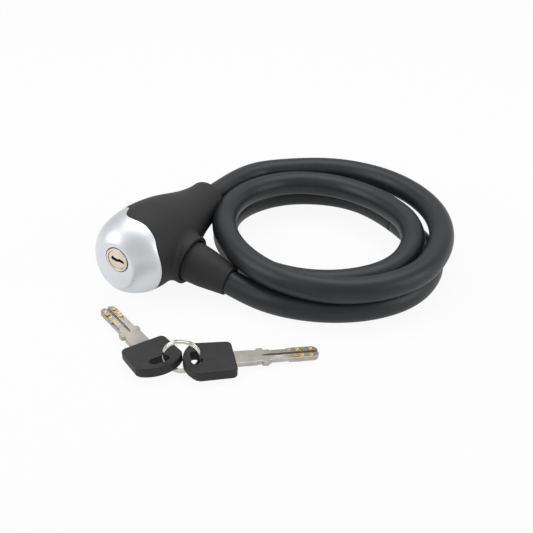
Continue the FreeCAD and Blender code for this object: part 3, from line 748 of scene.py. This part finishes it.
def makeShell():
    port = head["port"]
    end, front = head["outline"][-1], 5.0  # the part in front is cut away later
    line = [(front, 0.0)] + [(a, r) for a, r in outline[::6] if a > front] + [end, (end[0], 0.0)]
    shell = turnedSolid("headShell", line, headFrame)
    branch = turnedSolid("branch", [(0, 0), (0, port["radius"] + 2.5), (12, port["radius"] + 0.6),
                                    (port["rim"], port["radius"]), (port["rim"], 0)], portFrame)
    combine(shell, branch, "UNION")
    combine(shell, bored("bore", port["floor"], 40, port["bore"], portFrame))
    combine(shell, bored("mouth", head["mouthFloor"], 90, head["mouth"], headFrame))
    remesh = shell.modifiers.new("remesh", "REMESH")
    remesh.mode = "VOXEL"
    remesh.voxel_size = head["voxel"] * mm
    applied(shell)
    settle(shell)
    combine(shell, turnedSolid("core", head["core"], headFrame))
    combine(shell, capRoom())
    shell.data.materials.clear()
    shell.data.materials.append(materials["soft_black"])
    sharpen(shell, 45)
    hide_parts("head_shell")
    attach(shell, "head")


def capRoom(sides=360, front=-5, wide=30, narrow=6):
    # everything in front of the seam
    points = [inHead(front, 0, 0), inHead(narrow, 0, 0)]
    for index in range(sides):
        turn = 2 * math.pi * index / sides
        edge = seamAt(turn) + head["seamGap"]
        points += [inHead(a, r * math.cos(turn), r * math.sin(turn))
                   for a, r in ((front, wide), (edge, wide), (edge, narrow))]
    faces = []
    for index in range(sides):
        here = 2 + index * 3
        after = 2 + (index + 1) % sides * 3
        faces += [(0, here, after), (here, here + 1, after + 1, after), (here + 1, here + 2, after + 2, after + 1),
                  (here + 2, 1, after + 2)]
    return loose("capRoom", points, faces)


def settle(shell):
    # moves the remeshed points onto the blended form
    inverse = np.array(headFrame.inverted())
    forward = np.array(headFrame)
    count = len(shell.data.vertices)
    flat = np.empty(count * 3)
    shell.data.vertices.foreach_get("co", flat)
    local = (flat.reshape(-1, 3) @ inverse[:3, :3].T + inverse[:3, 3]) / mm
    step = 0.05
    free = local[:, 0] > 6.5  # the front stays where it is
    for _ in range(8):
        value = shellDistance(local)
        slope = np.stack([(shellDistance(local + step * axis) - shellDistance(local - step * axis)) / (2 * step)
                          for axis in np.eye(3)], axis=1)
        size = np.maximum((slope ** 2).sum(axis=1), 0.2)
        move = np.clip(value / size, -0.5, 0.5)[:, None] * slope
        local[free] -= move[free]
    placed = (local * mm) @ forward[:3, :3].T + forward[:3, 3]
    shell.data.vertices.foreach_set("co", placed.ravel())
    shell.data.update()


def makeSeamLip():
    # the black edge that shows between cap and shell
    turns = lipSizes["turns"]
    points = []
    for index in range(turns):
        turn = 2 * math.pi * index / turns
        edge = seamAt(turn)
        low = radiusAt(edge) - lipSizes["below"]
        points += [inHead(edge + shift, (low - drop) * math.cos(turn), (low - drop) * math.sin(turn))
                   for shift, drop in lipSizes["section"]]
    lip = makePiece("seamLip", points, wrapFaces(turns, len(lipSizes["section"])), "seal_rubber", "head")
    tidyNormals(lip)


makeCap()
makeShell()
makeSeamLip()
print("head ready")

# the key's face: a turned ring, a rotor with its stepped slot, and a thin very dark ring round the face, painted
# shade for the gap there

face = {
    "ring": [(-0.5, 4.84), (-0.5, 5.55), (-0.42, 5.78), (-0.2, 5.9), (7.0, 5.9), (7.0, 8.5), (20.0, 8.5),
             (20.0, 4.76), (-0.42, 4.76)],
    "rotor": [(23.4, 0), (23.4, 1.6), (21.2, 1.6), (21.2, 4.0), (20.3, 4.0), (20.3, 4.7), (-0.12, 4.7), (-0.3, 4.5),
              (-0.3, 0)],
    "slotTurn": 16.0,
    # the slot's stepped outline across the face, millimetres
    "slot": [(-4.2, 0.2), (-3.9, 1.4), (-1.3, 1.6), (-0.6, 0.75), (1.4, 0.65), (2.5, 1.15), (3.2, -0.3),
             (2.4, -0.95), (0.2, -0.9), (-0.8, -0.5), (-1.6, -0.1)],
    "slotDepth": 14.0,
    # along and radius of the thin very dark ring round the face: painted shade for the narrow gap, not a real part
    "lip": [(-0.06, 5.93), (-0.06, 6.28), (0.6, 6.28), (0.6, 5.93)],
}


def turnedRing(name, line, place, sides=128):
    # a closed ring turned round the local X axis from an (along, radius) outline that stays off the axis
    return loose(name, turnedPoints(line, place, sides), wrapFaces(sides, len(line)))


def claim(item, slot, body, *nodes, angle=35):
    # gives a finished helper mesh its material, body and the CAD nodes that it stands for
    if not item.data.materials:
        item.data.materials.append(materials[slot])
    sharpen(item, angle)
    if nodes:
        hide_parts(*nodes)
    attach(item, body)


def makeFace():
    place = headFrame @ Matrix.Translation(Vector((0, lockSpot[1] * mm, lockSpot[2] * mm)))
    claim(turnedRing("faceRing", face["ring"], place), "nickel_face", "head", "cylinder_barrel")
    # a thin very dark ring round the face: painted shade standing in for the gap's shadow
    claim(turnedRing("faceGapShade", face["lip"], place), "seal_rubber", "head")
    rotor = turnedSolid("keyFace", face["rotor"], place)
    rotor.data.materials.append(materials["nickel_face"])
    turned = place @ Matrix.Rotation(math.radians(face["slotTurn"]), 4, "X")
    spin = Matrix.Rotation(math.radians(90), 4, "Z")
    slot = prism("slot", face["slot"], -face["slotDepth"], 1.0, turned @ spin)
    slot.data.materials.append(materials["slotShade"])
    combine(rotor, slot)
    claim(rotor, "nickel_face", "rotor", "key_plug")


# the keys: nickel silver blades with milled dimples, in black heads

keys = {
    # where each blade leaves its head, and the way it points in degrees
    "places": {"left": ((-82.8, -81.6), 123.0), "right": ((-42.5, -91.0), 11.0)},
    "height": 4.45,
    "head": 22.0,
    "blade": 36.5,
    "thick": 2.2,
    "half": 3.75,
    "drop": 3.0,  # how far the tip hangs below the head's middle
    # the blade's upper edge from its head on, along and across, up to the stop
    "neck": [(-5, 4.3), (7.6, 4.3), (8.0, 3.9), (9.6, 3.9), (10.0, 5.1), (12.6, 5.1)],
    "stagger": 1.6,  # the lower edge's stop sits this much nearer the tip
    "bevel": 0.22,
    "groove": (0.7, 1.0),  # half width and depth
    "ledge": (0.75, 0.7),  # the same for the step along one edge of each face
    # from the tip, across, radius and depth
    "dimples": [(3.0, 2.25, 1.0, 0.6), (6.3, 2.35, 0.85, 0.45), (9.0, 2.2, 1.05, 0.6), (12.6, 2.3, 0.85, 0.45),
                (3.6, -2.3, 0.95, 0.55), (7.6, -2.25, 1.1, 0.65), (10.6, -2.3, 0.85, 0.45)],
}


def keyFrame(side):
    (x, y), yaw = keys["places"][side]
    long = keys["head"] + keys["blade"]
    turn = Matrix.Rotation(math.radians(yaw), 4, "Z") @ Matrix.Rotation(math.asin(keys["drop"] / long), 4, "Y")
    start = Vector((x, y, 0)) - turn @ Vector((keys["head"], 0, 0))
    return Matrix.Translation(Vector((start.x, start.y, keys["height"])) * mm) @ turn


def slab(name, outline, low, high, place):
    # a flat outline in the local XY plane, drawn out along Z
    count = len(outline)
    points = [place @ Vector((x * mm, y * mm, z * mm)) for z in (low, high) for x, y in outline]
    faces = [tuple(reversed(range(count))), tuple(range(count, 2 * count))]
    faces += [(i, (i + 1) % count, (i + 1) % count + count, i + count) for i in range(count)]
    return loose(name, points, faces)


def makeBlade(side):
    place = keyFrame(side)
    start = keys["head"]
    tip = start + keys["blade"]
    half = keys["half"]
    top = keys["thick"] / 2
    upper = [(start + along, across) for along, across in keys["neck"]]
    upper += [(start + 13.0, half), (tip - 2.2, half), (tip - 0.8, half - 0.7), (tip, half - 2.2)]
    lower = [(x + (keys["stagger"] if 7 < x - start < 14 else 0), -y) for x, y in reversed(upper)]
    blade = slab(side + "Blade", upper + lower, -top, top, place)
    blade.data.materials.append(materials["key_nickel"])
    bevel = blade.modifiers.new("bevel", "BEVEL")
    bevel.width = keys["bevel"] * mm
    bevel.segments = 2
    bevel.limit_method = "ANGLE"
    bevel.angle_limit = math.radians(40)
    applied(blade)
    wide, deep = keys["groove"]
    shelf, drop = keys["ledge"]
    for flat in (-1, 1):
        low, high = sorted((flat * (top - deep), flat * (top + 1)))
        outline = [(start + 11.0, 0), (start + 13.0, wide * 0.8), (start + 15, wide), (tip + 2, wide),
                   (tip + 2, -wide), (start + 15, -wide), (start + 13.0, -wide * 0.8)]
        cut = slab("groove", outline, low, high, place)
        cut.data.materials.append(materials["key_nickel"])
        combine(blade, cut)
        edge = sorted((flat * (half - shelf), flat * (half + 1)))
        level = sorted((flat * (top - drop), flat * (top + 1)))
        corners = [(start + 15.5, edge[0]), (tip - 13.5, edge[0]), (tip - 13.5, edge[1]), (start + 15.5, edge[1])]
        ledge = slab("ledge", corners, level[0], level[1], place)
        ledge.data.materials.append(materials["key_nickel"])
        combine(blade, ledge)
        for back, across, radius, depth in keys["dimples"]:
            spot = place @ Matrix.Translation(Vector(((tip - back) * mm, across * flat * mm, flat * top * mm)))
            down = spot @ Matrix.Rotation(math.radians(90 * flat), 4, "Y")
            cone = turnedSolid("dimple", [(-0.3, 0), (-0.3, radius + 0.2), (0.0, radius), (depth, 0.3), (depth, 0)],
                               down, 20)
            cone.data.materials.append(materials["milledGold"])
            combine(blade, cone)
    claim(blade, "key_nickel", side + "_key", "key_" + side + "_blade", angle=16)


# the split ring: two close turns of one wire, stepping over between its ends

ring = {
    "radius": 7.7,
    "wire": 0.62,
    "centre": (-64.5, -95.6, 8.34),
    "start": 200.0,  # where the wire begins, degrees
    "gap": 6.0,  # between its two ends
    "step": 50.0,  # over how many degrees it crosses from one turn to the other
    "shift": 0.6,
    "pieces": 240,
}


def makeRing():
    line = []
    total = 2 * 360 - ring["gap"]
    for index in range(ring["pieces"] + 1):
        angle = total * index / ring["pieces"]
        share = min(max((angle - (360 - ring["step"])) / ring["step"], 0.0), 1.0)
        over = (2 * (share * share * (3 - 2 * share)) - 1) * ring["shift"]
        turn = math.radians(ring["start"] + angle)
        line.append((Vector(ring["centre"]) + Vector((ring["radius"] * math.cos(turn), over,
                                                      ring["radius"] * math.sin(turn)))) * mm)
    points, faces = tubeMesh(line, ring["wire"] * mm, 20)
    wire = makePiece("splitRing", points, faces, "ring_steel", "ring")
    tidyNormals(wire)
    sharpen(wire, 50)
    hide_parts("split_ring")


makeFace()
makeBlade("left")
makeBlade("right")
makeRing()
print("keys ready")
